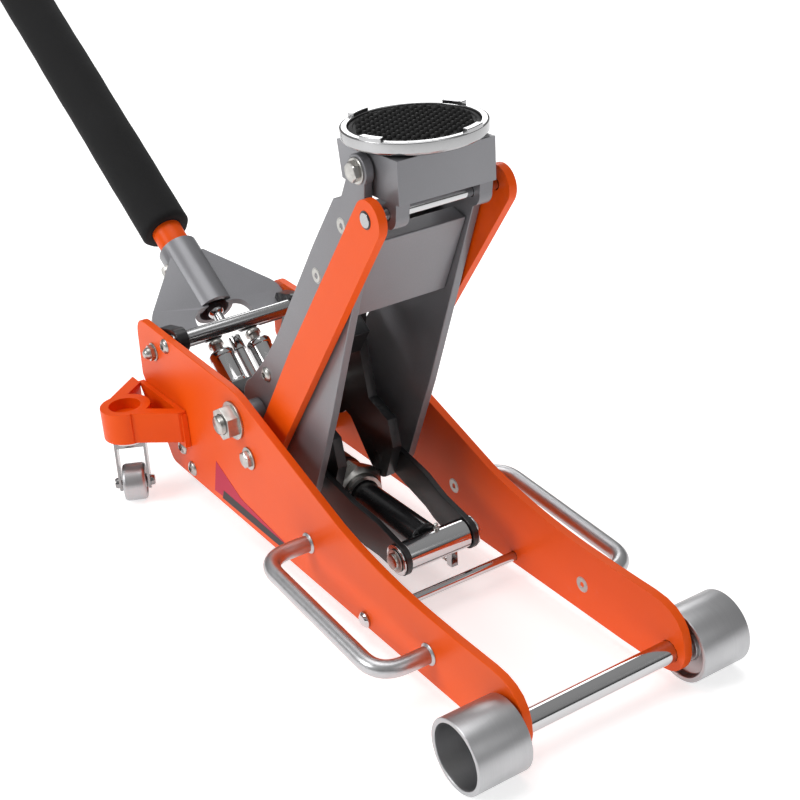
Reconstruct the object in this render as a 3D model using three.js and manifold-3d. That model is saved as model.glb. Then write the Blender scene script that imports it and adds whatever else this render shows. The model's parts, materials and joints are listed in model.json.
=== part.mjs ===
import * as THREE from 'three';
import { mergeVertices } from 'three/addons/utils/BufferGeometryUtils.js';
import Module from 'manifold-3d';

// Low-profile trolley jack at full lift. Millimetres, +X forward, +Y to the jack's left, +Z up.
// The working frame has the front axle at x = 0 and the floor at z = 0.

const wasm = await Module();
wasm.setup();

// Driving dimensions. Gap parts pieces that touch, and slack and play are the clearances on a radius.

const gap = 0.3;
const slack = 0.4;
const play = 0.5;

const frame = { outer: 87, plate: 8, bottomFront: 12, bottomRear: 25, top: 180, rear: -651 };
frame.inner = frame.outer - frame.plate;

const wheel = { radius: 32.5, wall: 4.5, inner: 89.5, outer: 140.5, bore: 10.2 };
const axle = { radius: 9.75, headRadius: 13 };
const tieRod = { x: -212, z: 24, radius: 4.5 };
const carry = { frontX: -112, frontZ: 42, rearX: -306, rearZ: 59, reach: 144, radius: 8, corner: 26 };

const pivot = { x: -434, z: 138, radius: 10, bush: 14 };
const armLength = 366.6;
const armAngle = THREE.MathUtils.degToRad(53.3);
const arm = { inner: 49, outer: 57, pivotBoss: 34, tipBoss: 13.6 };
const linkOffset = { x: 24, z: -32.4 };
const link = { inner: 59, outer: 67, pin: 5, bolt: 6, boltHole: 6.6 };
const tip = {
  x: pivot.x + armLength * Math.cos(armAngle),
  z: pivot.z + armLength * Math.sin(armAngle),
};

const saddle = { radius: 60, top: 460, thick: 13, padRadius: 51.5, padTop: 460.6 };

const ram = { z: 60, radius: 15, cylinder: 25, front: -372, back: -479.7, glandFront: -345, gland: 29.2 };
const spring = { y: 20.5, z: 35, radius: 5 };
const crosshead = { x: -227, radius: 14, half: 33, pin: 8, pinHalf: 47.5 };
const lugPin = { x: -357.6, z: 89, radius: 7 };
const lug = { inner: 26, outer: 36 };

const crossRod = { x: -577.4, z: 170.3, radius: 8 };
const handleAngle = THREE.MathUtils.degToRad(33.2);
const handle = { drop: -35, radius: 17, start: -60, end: -1085, foamStart: -164, foamEnd: -640, foam: 28.5 };
const socket = { radius: 22.5, bore: 17.5, start: -46, end: -136, plateTop: -21, plateThick: 8, half: 77 };

const pump = {
  top: { x: -586, z: 138 },
  angle: THREE.MathUtils.degToRad(41.4),
  length: 46,
  radius: 14,
  bore: 6.4,
  mouth: 9.4,
  y: 22.5,
};
const roller = { x: -605.1, z: 154.8, radius: 9, inner: 11, outer: 32 };

const caster = {
  x: -604,
  y: 131,
  bossRadius: 26,
  bossLow: 71,
  bossTop: 105,
  wheel: 20,
  wheelHalf: 12.5,
  forkInner: 14,
  forkOuter: 16.5,
  boltHalf: 21,
  trail: 12,
};
caster.yaw = THREE.MathUtils.degToRad(27);

// Finishes.

const finish = {
  orange: { color: '#f4510b', roughness: 0.35, metalness: 0.1 },
  grey: { color: '#8d8c91', roughness: 0.4, metalness: 0.3 },
  chrome: { color: '#c9cacd', roughness: 0.12, metalness: 1 },
  aluminium: { color: '#b9bbbd', roughness: 0.4, metalness: 1 },
  zinc: { color: '#b4b1aa', roughness: 0.3, metalness: 1 },
  blackSteel: { color: '#2a2a2d', roughness: 0.35, metalness: 0.6 },
  foam: { color: '#232325', roughness: 0.9, metalness: 0 },
  rubber: { color: '#1b1b1c', roughness: 0.8, metalness: 0 },
};

const jack = new THREE.Group();

function addMesh(name, geometry, look, parent = jack) {
  const mesh = new THREE.Mesh(geometry, new THREE.MeshStandardMaterial(finish[look]));
  mesh.name = name;
  parent.add(mesh);
  return mesh;
}

// Shape helpers.

function solidOf(geometry) {
  const bare = geometry.clone();
  bare.deleteAttribute('normal');
  bare.deleteAttribute('uv');
  const merged = mergeVertices(bare, 1e-4);
  return new wasm.Manifold(new wasm.Mesh({
    numProp: 3,
    vertProperties: new Float32Array(merged.attributes.position.array),
    triVerts: new Uint32Array(merged.index.array),
  }));
}

function geometryOf(solid) {
  const mesh = solid.getMesh();
  const geometry = new THREE.BufferGeometry();
  geometry.setAttribute('position', new THREE.BufferAttribute(new Float32Array(mesh.vertProperties), 3));
  geometry.setIndex(new THREE.BufferAttribute(new Uint32Array(mesh.triVerts), 1));
  geometry.computeVertexNormals();
  return geometry;
}

function join(...pieces) {
  return geometryOf(pieces.map(solidOf).reduce((whole, piece) => whole.add(piece)));
}

function cut(body, ...tools) {
  return geometryOf(tools.map(solidOf).reduce((whole, tool) => whole.subtract(tool), solidOf(body)));
}

function overlap(first, second) {
  return geometryOf(solidOf(first).intersect(solidOf(second)));
}

// The same outline as straight steps, run anticlockwise, with doubled points left out.
function stepped(outline, segments) {
  const { shape, holes } = outline.extractPoints(segments);
  const distinct = (points) => points.filter((point, i) => {
    const previous = points[(i + points.length - 1) % points.length];
    return point.distanceTo(previous) > 0.01;
  });
  const outer = distinct(shape);
  if (THREE.ShapeUtils.isClockWise(outer)) outer.reverse();
  const clean = new THREE.Shape(outer);
  clean.holes = holes.map((hole) => new THREE.Path(distinct(hole)));
  return clean;
}

// An outline in X and Z, carried along Y from yLow to yHigh.
function slab(outline, yLow, yHigh, segments = 12) {
  const settings = { depth: yHigh - yLow, bevelEnabled: false };
  return new THREE.ExtrudeGeometry(stepped(outline, segments), settings)
    .rotateX(Math.PI / 2).translate(0, yHigh, 0);
}

// An outline in X and Y, carried up from zLow to zHigh.
function block(outline, zLow, zHigh, segments = 12) {
  const settings = { depth: zHigh - zLow, bevelEnabled: false };
  return new THREE.ExtrudeGeometry(stepped(outline, segments), settings).translate(0, 0, zLow);
}

function box(x0, x1, y0, y1, z0, z1) {
  return new THREE.BoxGeometry(x1 - x0, y1 - y0, z1 - z0)
    .translate((x0 + x1) / 2, (y0 + y1) / 2, (z0 + z1) / 2);
}

// A round bar along Y between yLow and yHigh, centred on (x, z).
function rodY(radius, yLow, yHigh, x, z, segments = 20) {
  return new THREE.CylinderGeometry(radius, radius, yHigh - yLow, segments)
    .translate(x, (yLow + yHigh) / 2, z);
}

// A round bar along X.
function rodX(radius, xLow, xHigh, y, z, segments = 20) {
  return new THREE.CylinderGeometry(radius, radius, xHigh - xLow, segments)
    .rotateZ(Math.PI / 2).translate((xLow + xHigh) / 2, y, z);
}

// A profile of [radius, distance] points turned about the Y axis through (x, z).
// The profile runs up the outside from the low end to the high end.
function turnedY(profile, x, z, segments = 24) {
  const points = profile.map(([radius, y]) => new THREE.Vector2(radius, y));
  return new THREE.LatheGeometry(points, segments).translate(x, 0, z);
}

// A closed profile ring about the Y axis: the first point is repeated at the end.
function ringY(profile, x, z, segments = 24) {
  return turnedY([...profile, profile[0]], x, z, segments);
}

function outlineOf(points) {
  return new THREE.Shape(points.map(([x, y]) => new THREE.Vector2(x, y)));
}

function roundHole(shape, x, y, radius) {
  const hole = new THREE.Path();
  hole.absarc(x, y, radius, 0, Math.PI * 2, true);
  shape.holes.push(hole);
}

function mirroredY(geometry) {
  const copy = geometry.clone().scale(1, -1, 1);
  const index = copy.index ? copy.index.array : null;
  if (index) {
    for (let i = 0; i < index.length; i += 3) {
      const first = index[i];
      index[i] = index[i + 1];
      index[i + 1] = first;
    }
    return copy;
  }
  const position = copy.attributes.position;
  for (let i = 0; i < position.count; i += 3) {
    for (let axis = 0; axis < 3; axis += 1) {
      const first = position.getComponent(i, axis);
      position.setComponent(i, axis, position.getComponent(i + 1, axis));
      position.setComponent(i + 1, axis, first);
    }
  }
  copy.computeVertexNormals();
  return copy;
}

// The left piece is made on the +Y side, and the right one is its mirror image.
function addPair(name, leftGeometry, look, parent = jack) {
  addMesh(`${name}_left`, leftGeometry, look, parent);
  addMesh(`${name}_right`, mirroredY(leftGeometry), look, parent);
}

// Chassis.

function sidePlateOutline() {
  const shape = new THREE.Shape();
  shape.moveTo(-590, frame.bottomRear);
  shape.lineTo(-465, 21.5);
  shape.lineTo(-60, frame.bottomFront);
  shape.lineTo(-6, frame.bottomFront);
  shape.quadraticCurveTo(16, 14, 19, 36);
  shape.quadraticCurveTo(20, 77, -24, 78);
  shape.quadraticCurveTo(-100, 79, -140, 83);
  shape.quadraticCurveTo(-193, 88, -246, 103);
  shape.lineTo(-405, 162);
  shape.quadraticCurveTo(-424, 171, -450, 172);
  shape.lineTo(-628, frame.top);
  shape.quadraticCurveTo(-646, frame.top, -648, 160);
  shape.lineTo(frame.rear, 112);
  shape.lineTo(-604, 32);
  shape.quadraticCurveTo(-600, frame.bottomRear, -590, frame.bottomRear);
  roundHole(shape, 0, wheel.radius, axle.radius + play);
  roundHole(shape, pivot.x, pivot.z, pivot.radius + play);
  roundHole(shape, pivot.x + linkOffset.x, pivot.z + linkOffset.z, link.boltHole);
  roundHole(shape, tieRod.x, tieRod.z, tieRod.radius + play);
  return shape;
}

function addChassis() {
  addPair('side_plate', slab(sidePlateOutline(), frame.inner, frame.outer, 6), 'orange');

  const half = wheel.outer - 22;
  addMesh('front_axle', turnedY([
    [0, -half], [axle.headRadius - 2, -half], [axle.headRadius, -half + 2], [axle.headRadius, -half + 5],
    [axle.radius, -half + 5], [axle.radius, half - 5], [axle.headRadius, half - 5],
    [axle.headRadius, half - 2], [axle.headRadius - 2, half], [0, half],
  ], 0, wheel.radius), 'chrome');

  const tieHalf = frame.outer + 5;
  addMesh('tie_rod', turnedY([
    [0, -tieHalf], [6, -tieHalf], [8, -tieHalf + 2], [8, -frame.outer - gap],
    [tieRod.radius, -frame.outer - gap], [tieRod.radius, frame.outer + gap],
    [8, frame.outer + gap], [8, tieHalf - 2], [6, tieHalf], [0, tieHalf],
  ], tieRod.x, tieRod.z, 14), 'chrome');
}

// The carry handle is a bent tube that leaves the plate, turns and comes back to it.
function addCarryHandles() {
  const y = carry.reach - carry.radius;
  const start = new THREE.Vector3(carry.rearX, frame.outer + gap, carry.rearZ);
  const rear = new THREE.Vector3(carry.rearX, y, carry.rearZ);
  const front = new THREE.Vector3(carry.frontX, y, carry.frontZ);
  const finishPoint = new THREE.Vector3(carry.frontX, frame.outer + gap, carry.frontZ);
  const along = front.clone().sub(rear).normalize().multiplyScalar(carry.corner);
  const outward = new THREE.Vector3(0, carry.corner, 0);
  const path = new THREE.CurvePath();
  path.add(new THREE.LineCurve3(start, rear.clone().sub(outward)));
  path.add(new THREE.QuadraticBezierCurve3(rear.clone().sub(outward), rear, rear.clone().add(along)));
  path.add(new THREE.LineCurve3(rear.clone().add(along), front.clone().sub(along)));
  path.add(new THREE.QuadraticBezierCurve3(front.clone().sub(along), front, front.clone().sub(outward)));
  path.add(new THREE.LineCurve3(front.clone().sub(outward), finishPoint));
  const section = new THREE.Shape();
  section.absarc(0, 0, carry.radius, 0, Math.PI * 2);
  const settings = { steps: 30, curveSegments: 5, extrudePath: path };
  addPair('carry_handle', new THREE.ExtrudeGeometry(section, settings), 'aluminium');
}

function addFrontWheels() {
  const { radius, wall, inner, outer, bore } = wheel;
  const hollow = radius - wall;
  addPair('front_wheel', ringY([
    [bore, inner + 6], [15, inner + 6], [16, inner + 10], [hollow, inner + 6], [hollow + 1, inner],
    [radius - 1, inner], [radius, inner + 1], [radius, outer - 1], [radius - 1, outer],
    [hollow, outer], [hollow - 1, outer - 34], [16, outer - 34], [14, outer - 27.5], [bore, outer - 27.5],
  ], 0, wheel.radius, 32), 'aluminium');
}

// Casters.

function casterBracket() {
  const { x, y, bossRadius, bossLow, bossTop } = caster;
  const face = frame.outer + gap;
  const outline = new THREE.Shape();
  outline.moveTo(-664, face);
  outline.lineTo(-548, face);
  outline.lineTo(-548, face + 9);
  outline.lineTo(x + 24, y + 4);
  outline.absarc(x, y, bossRadius, 0.2, Math.PI - 0.2, false);
  outline.lineTo(-664, face + 7);
  const pocket = new THREE.Shape();
  pocket.moveTo(-646, face + 6);
  pocket.lineTo(-560, face + 6);
  pocket.absarc(x, y, bossRadius + 1, -0.55, -Math.PI + 0.55, true);
  const body = block(outline, bossLow, bossTop);
  const stem = new THREE.CylinderGeometry(7, 7, 60, 16).rotateX(Math.PI / 2).translate(x, y, bossLow);
  const recess = new THREE.CylinderGeometry(17, 17, 24, 24).rotateX(Math.PI / 2).translate(x, y, bossTop);
  const flange = box(-650, -546, face, face + 6, 64, bossTop - 3);
  const slopes = outlineOf([[-700, 40], [-700, 120], [-651, 120], [-651, 108], [-604, 36]]);
  return cut(join(body, flange), block(pocket, bossLow + 6, bossTop + 1), stem, recess,
    slab(slopes, face - 1, face + 6.5));
}

function addCaster(side) {
  const label = side > 0 ? 'left' : 'right';
  const swivel = new THREE.Group();
  swivel.position.set(caster.x, side * caster.y, 0);
  swivel.rotation.z = -caster.yaw;
  jack.add(swivel);
  const top = caster.bossLow - 1;
  const crown = new THREE.CylinderGeometry(17, 15, 8, 20).rotateX(Math.PI / 2).translate(0, 0, top - 4);
  const leg = new THREE.Shape();
  leg.moveTo(-12, top - 4);
  leg.lineTo(14, top - 4);
  leg.lineTo(caster.trail + 9, caster.wheel);
  leg.absarc(caster.trail, caster.wheel, 9, 0, -Math.PI, true);
  const { wheel: radius, wheelHalf, forkInner, forkOuter, boltHalf, trail } = caster;
  const roof = box(-12, 14, -forkOuter, forkOuter, top - 9, top - 3);
  const stem = new THREE.CylinderGeometry(6.4, 6.4, 20, 14).rotateX(Math.PI / 2).translate(0, 0, top + 8);
  const bolt = turnedY([
    [0, -boltHalf], [5, -boltHalf], [5.8, 2 - boltHalf], [5.8, 1 - forkOuter], [2.9, 1 - forkOuter],
    [2.9, forkOuter - 1], [5.8, forkOuter - 1], [5.8, boltHalf - 2], [5, boltHalf], [0, boltHalf],
  ], trail, radius, 12);
  const legs = [slab(leg, forkInner, forkOuter), slab(leg, -forkOuter, -forkInner)];
  const fork = join(crown, roof, stem, ...legs, bolt);
  addMesh(`caster_fork_${label}`, fork, 'chrome', swivel);

  const half = wheelHalf;
  addMesh(`caster_wheel_${label}`, ringY([
    [3.5, -half], [8, -half], [9, 1.5 - half], [radius - 5, 1.5 - half], [radius - 3, 0.5 - half],
    [radius - 1, 1.5 - half], [radius, 3.5 - half], [radius, half - 3.5], [radius - 1, half - 1.5],
    [radius - 3, half - 0.5], [radius - 5, half - 1.5], [9, half - 1.5], [8, half], [3.5, half],
  ], trail, radius, 24), 'aluminium', swivel);
}

function addCasters() {
  addPair('caster_bracket', casterBracket(), 'orange');
  addCaster(1);
  addCaster(-1);
}

// Lift arm.

function hexRing(acrossFlats, bore, yLow, yHigh, x, z) {
  const shape = new THREE.Shape();
  for (let corner = 0; corner < 6; corner += 1) {
    const angle = (corner + 0.5) * Math.PI / 3;
    const reach = acrossFlats / 2 / Math.cos(Math.PI / 6);
    const point = [x + reach * Math.cos(angle), z + reach * Math.sin(angle)];
    if (corner === 0) shape.moveTo(...point);
    else shape.lineTo(...point);
  }
  roundHole(shape, x, z, bore);
  return slab(shape, yLow, yHigh, 8);
}

function addArmPivot() {
  const half = frame.outer + 19;
  addMesh('arm_pivot_shaft', turnedY([
    [0, -half], [pivot.radius - 2, -half], [pivot.radius, -half + 3],
    [pivot.radius, half - 3], [pivot.radius - 2, half], [0, half],
  ], pivot.x, pivot.z), 'zinc');
  const face = frame.outer + gap;
  addPair('arm_pivot_nut', hexRing(30, pivot.radius + slack, face, face + 14, pivot.x, pivot.z), 'zinc');
  addPair('arm_pivot_bush', ringY([
    [pivot.radius + slack, arm.outer + gap], [pivot.bush, arm.outer + gap],
    [pivot.bush, frame.inner - gap], [pivot.radius + slack, frame.inner - gap],
  ], pivot.x, pivot.z, 20), 'grey');
}

// In the arm's own group the x axis runs from the pivot to the saddle, and z points to the rear.
function armPlateOutline() {
  const shape = new THREE.Shape();
  shape.moveTo(-33, -8);
  shape.absarc(0, 0, arm.pivotBoss, Math.PI * 1.07, 1.1, true);
  shape.quadraticCurveTo(60, 19, 120, 17);
  shape.lineTo(250, 16);
  shape.lineTo(armLength - 51, 13.5);
  shape.lineTo(armLength - 39, 6);
  shape.lineTo(armLength - 22, 8);
  shape.absarc(armLength, 0, arm.tipBoss, 2.3, -1.7, true);
  shape.lineTo(344, -26);
  shape.lineTo(327, -37);
  shape.lineTo(241, -57.5);
  shape.lineTo(124, -84.6);
  shape.lineTo(26, -104);
  shape.quadraticCurveTo(4, -110, -2, -98);
  roundHole(shape, 0, 0, pivot.radius + play);
  return shape;
}

function addArm() {
  const group = new THREE.Group();
  group.position.set(pivot.x, 0, pivot.z);
  group.rotation.y = -armAngle;
  jack.add(group);
  addPair('arm_plate', slab(armPlateOutline(), arm.inner, arm.outer), 'grey', group);

  const webHalf = arm.inner - gap;
  const panel = outlineOf([[312, -36], [228, -51], [222, -26], [229, -30], [305, -18]]);
  addMesh('arm_web', slab(panel, -webHalf, webHalf), 'grey', group);
  const back = outlineOf([[300, 4], [300, 12], [150, 13], [150, 5]]);
  addMesh('arm_back_web', slab(back, -webHalf, webHalf), 'grey', group);
  const brace = outlineOf([[86, -14], [120, -14], [120, 12], [86, 12]]);
  addMesh('arm_cross_block', slab(brace, -lug.inner + gap, lug.inner - gap), 'blackSteel', group);

  addPair('saddle_bolt', turnedY([
    [0, arm.outer + gap], [8.4, arm.outer + gap], [8.4, arm.outer + 5.5], [7.2, arm.outer + 6.5],
    [0, arm.outer + 6.5],
  ], armLength, 0, 6), 'zinc', group);
}

// The lug plates stand in the jack's own frame, beside the ram cylinder.
function addLugs() {
  const shape = new THREE.Shape();
  shape.moveTo(-462, 138);
  shape.absarc(pivot.x, pivot.z, 28, Math.PI, Math.PI * 0.62, true);
  shape.lineTo(-408, 240);
  shape.lineTo(-372, 240);
  shape.lineTo(-378, 212);
  shape.lineTo(-366, 150);
  shape.lineTo(-334, 138);
  shape.lineTo(-328, 110);
  shape.lineTo(-345, 72);
  shape.quadraticCurveTo(-360, 62, -374, 78);
  shape.lineTo(-404, 116);
  shape.absarc(pivot.x, pivot.z, 28, -0.75, -Math.PI, true);
  roundHole(shape, pivot.x, pivot.z, pivot.radius + play);
  const pin = turnedY([
    [0, lug.inner - gap], [lugPin.radius - 1, lug.inner - gap], [lugPin.radius, lug.inner + 1],
    [lugPin.radius, lug.outer + 1.2], [0, lug.outer + 1.2],
  ], lugPin.x, lugPin.z, 16);
  addPair('lug_plate', join(slab(shape, lug.inner, lug.outer), pin), 'blackSteel');
}

// Levelling links and saddle.

function addLinks() {
  const low = { x: pivot.x + linkOffset.x, z: pivot.z + linkOffset.z };
  const group = new THREE.Group();
  group.position.set(low.x, 0, low.z);
  group.rotation.y = -armAngle;
  jack.add(group);
  const shape = new THREE.Shape();
  shape.moveTo(0, 22);
  shape.absarc(0, 4, 18, Math.PI / 2, Math.PI * 1.5, false);
  shape.lineTo(180, -17);
  shape.lineTo(armLength, -20);
  shape.absarc(armLength, -2, 18, -Math.PI / 2, Math.PI / 2, false);
  shape.lineTo(150, 23);
  roundHole(shape, 0, 0, link.boltHole);
  roundHole(shape, armLength, 0, link.pin + 0.6);
  addPair('level_link', slab(shape, link.inner, link.outer), 'orange', group);

  const face = frame.outer + gap;
  addPair('link_bolt', turnedY([
    [0, link.inner - 0.7], [link.bolt, link.inner - 0.7], [link.bolt, link.outer + slack],
    [9.5, link.outer + slack], [9.5, frame.inner - gap], [link.bolt, frame.inner - gap], [link.bolt, face],
    [10, face], [10, face + 2], [7, face + 6], [0, face + 6],
  ], low.x, low.z, 20), 'zinc');
}

function addSaddle() {
  const half = arm.inner - 2;
  const body = new THREE.Shape();
  body.moveTo(tip.x - 40, tip.z - 17);
  body.lineTo(tip.x - 44, saddle.top - saddle.thick - gap);
  body.lineTo(tip.x + 44, saddle.top - saddle.thick - gap);
  body.lineTo(tip.x + 43, tip.z - 22);
  body.lineTo(tip.x - 8, tip.z - 22);
  const ear = new THREE.Shape();
  const pin = { x: tip.x + linkOffset.x, z: tip.z + linkOffset.z };
  ear.moveTo(pin.x - 13, tip.z - 10);
  ear.absarc(pin.x, pin.z, 13, Math.PI, Math.PI * 2, false);
  ear.lineTo(pin.x + 17, tip.z - 10);
  roundHole(ear, pin.x, pin.z, link.pin + slack);
  const solid = join(slab(body, -half, half), slab(ear, half - 13, half), slab(ear, -half, 13 - half));
  const stem = new THREE.CylinderGeometry(10.4, 10.4, 66, 20)
    .rotateX(Math.PI / 2).translate(tip.x, 0, saddle.top);
  addMesh('saddle_bracket', cut(solid, stem), 'grey');
  addMesh('link_pin', rodY(link.pin, -link.outer - 4, link.outer + 4, pin.x, pin.z, 16), 'chrome');

  const base = saddle.top - saddle.thick;
  const dish = new THREE.LatheGeometry([
    [0, base - 18], [10, base - 18], [10, base], [saddle.radius - 6, base], [saddle.radius - 2, base + 2],
    [saddle.radius, base + 4], [saddle.radius, saddle.top - 1], [saddle.radius - 1, saddle.top],
    [saddle.padRadius + gap, saddle.top], [saddle.padRadius + gap, base + 4], [0, base + 4],
  ].map(([radius, z]) => new THREE.Vector2(radius, z)), 40).rotateX(Math.PI / 2).translate(tip.x, 0, 0);
  addMesh('saddle_ring', dish, 'chrome');
  const padHeight = saddle.padTop - base - 4 - gap;
  const pad = new THREE.CylinderGeometry(saddle.padRadius - 0.2, saddle.padRadius - 0.2, padHeight, 32)
    .rotateX(Math.PI / 2).translate(tip.x, 0, saddle.padTop - padHeight / 2);
  addMesh('saddle_pad', pad, 'rubber');
}

// Hydraulic unit.

const pumpDown = new THREE.Vector3(Math.cos(pump.angle), 0, -Math.sin(pump.angle));

// A turned piece whose axis runs up and back along the pump direction, from the point given.
function pumpTurned(profile, x, y, z, segments) {
  return turnedY(profile, 0, 0, segments).rotateZ(Math.PI / 2 - pump.angle)
    .rotateX(Math.PI / 2).translate(x, y, z);
}

function addHydraulics() {
  const foot = { x: pump.top.x + pumpDown.x * pump.length, z: pump.top.z + pumpDown.z * pump.length };
  const sine = Math.sin(pump.angle);
  const cosine = Math.cos(pump.angle);
  const front = ram.back + 0.2 - gap;
  const profile = outlineOf([
    [foot.x - 26 * sine, foot.z - 26 * cosine], [foot.x + 26 * sine, foot.z + 26 * cosine],
    [front, foot.z + 26 * cosine], [front, 34], [foot.x - 26 * sine, 34],
  ]);
  const body = slab(profile, -40, 40);
  const mount = box(-582, -530, slack - frame.inner, frame.inner - slack, 34, 66);
  addMesh('hydraulic_block', join(body, mount), 'blackSteel');

  addMesh('ram_cylinder', new THREE.LatheGeometry([
    [0, ram.back], [ram.cylinder - 2, ram.back], [ram.cylinder, ram.back + 2], [ram.cylinder, ram.front],
    [ram.radius + slack, ram.front], [ram.radius + slack, ram.back + 4], [0, ram.back + 4],
  ].map(([radius, x]) => new THREE.Vector2(radius, x)), 32).rotateZ(-Math.PI / 2).translate(0, 0, ram.z),
  'blackSteel');

  const hex = new THREE.CylinderGeometry(ram.gland, ram.gland, ram.glandFront - ram.front - gap, 6);
  const clear = ram.radius + slack;
  const bore = new THREE.CylinderGeometry(clear, clear, 60, 24);
  addMesh('gland_nut', cut(hex, bore).rotateZ(-Math.PI / 2)
    .translate((ram.glandFront + ram.front + gap) / 2, 0, ram.z), 'zinc');

  const { x, z } = pump.top;
  for (const [label, side] of [['left', 1], ['right', -1]]) {
    addMesh(`pump_cylinder_${label}`, pumpTurned([
      [0, gap - pump.length], [pump.radius, gap - pump.length], [pump.radius, -2], [pump.radius - 1.5, 0],
      [pump.mouth, 0], [pump.mouth, -7], [pump.bore, -7], [pump.bore, 4 - pump.length], [0, 4 - pump.length],
    ], x, side * pump.y, z, 20), 'chrome');
    addMesh(`pump_plunger_${label}`, pumpTurned([
      [0, -26], [6, -26], [6, 8], [8.5, 8], [8.5, 12], [7, 14], [0, 14],
    ], x, side * pump.y, z, 16), 'zinc');
  }
  addMesh('release_rod', pumpTurned([
    [0, gap - pump.length], [5, gap - pump.length], [5, -4], [7, -4], [7, 12], [0, 12],
  ], x, 0, z, 16), 'chrome');
}

function addRam() {
  const rear = crosshead.x - crosshead.radius - gap;
  addMesh('ram_rod', rodX(ram.radius, ram.front - 16, rear, 0, ram.z, 24), 'blackSteel');
  const tube = ringY([
    [crosshead.pin + slack, -crosshead.half], [crosshead.radius, -crosshead.half],
    [crosshead.radius, crosshead.half], [crosshead.pin + slack, crosshead.half],
  ], crosshead.x, ram.z, 24);
  const ear = box(crosshead.x - 6, crosshead.x + 2, spring.y - 4, spring.y + 4, spring.z - 6, ram.z - 10);
  addMesh('crosshead', join(tube, ear), 'chrome');
  addMesh('crosshead_pin', rodY(crosshead.pin, -crosshead.pinHalf, crosshead.pinHalf, crosshead.x, ram.z),
    'zinc');
  addMesh('return_spring', rodX(spring.radius, ram.back + 0.6, crosshead.x - 6 - gap, spring.y, spring.z, 12),
    'zinc');
}

function addPullPlates() {
  const outline = new THREE.Shape();
  outline.moveTo(crosshead.x, ram.z - 16);
  outline.absarc(crosshead.x, ram.z, 16, -Math.PI / 2, Math.PI * 0.4, false);
  outline.quadraticCurveTo(-262, 84, -310, 95);
  outline.lineTo(lugPin.x + 3, lugPin.z + 15);
  outline.absarc(lugPin.x, lugPin.z, 15, Math.PI / 2, Math.PI * 1.4, false);
  outline.lineTo(-280, 50);
  roundHole(outline, crosshead.x, ram.z, crosshead.pin + play);
  roundHole(outline, lugPin.x, lugPin.z, lugPin.radius + 1);
  const strip = outlineOf([
    [-390, 38], [-296, 38], [-262, 33.8], [-200, 33.8], [-200, 39.8], [-260, 39.8], [-294, 44], [-390, 44],
  ]);
  addPair('pull_plate', overlap(slab(outline, 33, 46), block(strip, 20, 130)), 'blackSteel');
}

// Handle.

// A closed profile of [radius, distance along the handle] turned about the handle tube.
function alongHandle(profile, segments) {
  return ringY(profile, 0, 0, segments).rotateZ(-Math.PI / 2).translate(0, 0, handle.drop);
}

// In the handle's own group the origin is on the cross rod, the x axis points forward and down along
// the handle, and the z axis is square to the wing plate.
function addHandle() {
  const reach = frame.inner - slack;
  addMesh('cross_rod', rodY(crossRod.radius, -reach, reach, crossRod.x, crossRod.z), 'chrome');
  const group = new THREE.Group();
  group.position.set(crossRod.x, 0, crossRod.z);
  group.rotation.y = handleAngle;
  jack.add(group);

  const wings = new THREE.Shape();
  const { half } = socket;
  wings.moveTo(-118, -20);
  wings.lineTo(-56, 6 - half);
  wings.quadraticCurveTo(-48, -half, -38, -half);
  wings.lineTo(-6, -half);
  wings.lineTo(-6, -33.5);
  wings.lineTo(-27, -33.5);
  wings.quadraticCurveTo(-42, -31, -43, -18);
  wings.lineTo(-43, 18);
  wings.quadraticCurveTo(-42, 31, -27, 33.5);
  wings.lineTo(-6, 33.5);
  wings.lineTo(-6, half);
  wings.lineTo(-38, half);
  wings.quadraticCurveTo(-48, half, -56, half - 6);
  wings.lineTo(-118, 20);
  const plate = block(wings, socket.plateTop - socket.plateThick, socket.plateTop);
  const tube = rodX(socket.radius, socket.end, socket.start, 0, handle.drop, 28);
  const bore = rodX(socket.bore, socket.end - 5, socket.start + 40, 0, handle.drop, 28);
  const arms = rollerArms();
  addMesh('handle_socket', cut(join(plate, tube, ...arms), bore), 'grey', group);

  const ear = new THREE.Shape();
  ear.moveTo(-30, socket.plateTop + gap);
  ear.lineTo(-6, socket.plateTop + gap);
  ear.lineTo(12, -6);
  ear.absarc(0, 0, 13, -0.4, Math.PI * 0.85, false);
  ear.lineTo(-30, socket.plateTop + 8);
  roundHole(ear, 0, 0, crossRod.radius + slack);
  addPair('pivot_block', slab(ear, 64, half, 6), 'blackSteel', group);

  const main = rodX(handle.radius, handle.end + 2, handle.start, 0, handle.drop, 24);
  addMesh('handle_tube', main, 'orange', group);
  const coupler = rodX(9, handle.start + gap, handle.start + 34, 0, handle.drop, 16);
  addMesh('release_coupler', coupler, 'chrome', group);
  const sleeve = [
    [handle.radius + slack, handle.foamEnd], [handle.foam - 1, handle.foamEnd],
    [handle.foam, handle.foamEnd + 2],
    [handle.foam, handle.foamStart - 2], [handle.foam - 1, handle.foamStart],
    [handle.radius + slack, handle.foamStart],
  ];
  addMesh('foam_sleeve', alongHandle(sleeve, 28), 'foam', group);
  const grip = [
    [handle.radius + slack, -950], [21, -950], [21, -1068], [19, handle.end], [0, handle.end],
    [0, handle.end + 1.6], [handle.radius + slack, handle.end + 1.6],
  ].reverse();
  addMesh('hand_grip', alongHandle(grip, 24), 'rubber', group);
}

// Two short arms hang from the wing plate and carry the pump rollers.
function rollerArms() {
  const local = new THREE.Vector3(roller.x - crossRod.x, 0, roller.z - crossRod.z)
    .applyAxisAngle(new THREE.Vector3(0, 1, 0), -handleAngle);
  const outline = new THREE.Shape();
  outline.moveTo(local.x - 9, socket.plateTop - 4);
  outline.absarc(local.x, local.z, 7, Math.PI, 0, false);
  outline.lineTo(local.x + 9, socket.plateTop - 4);
  const low = roller.outer + play;
  const high = low + 6.5;
  return [slab(outline, low, high), slab(outline, -high, -low)];
}

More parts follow.
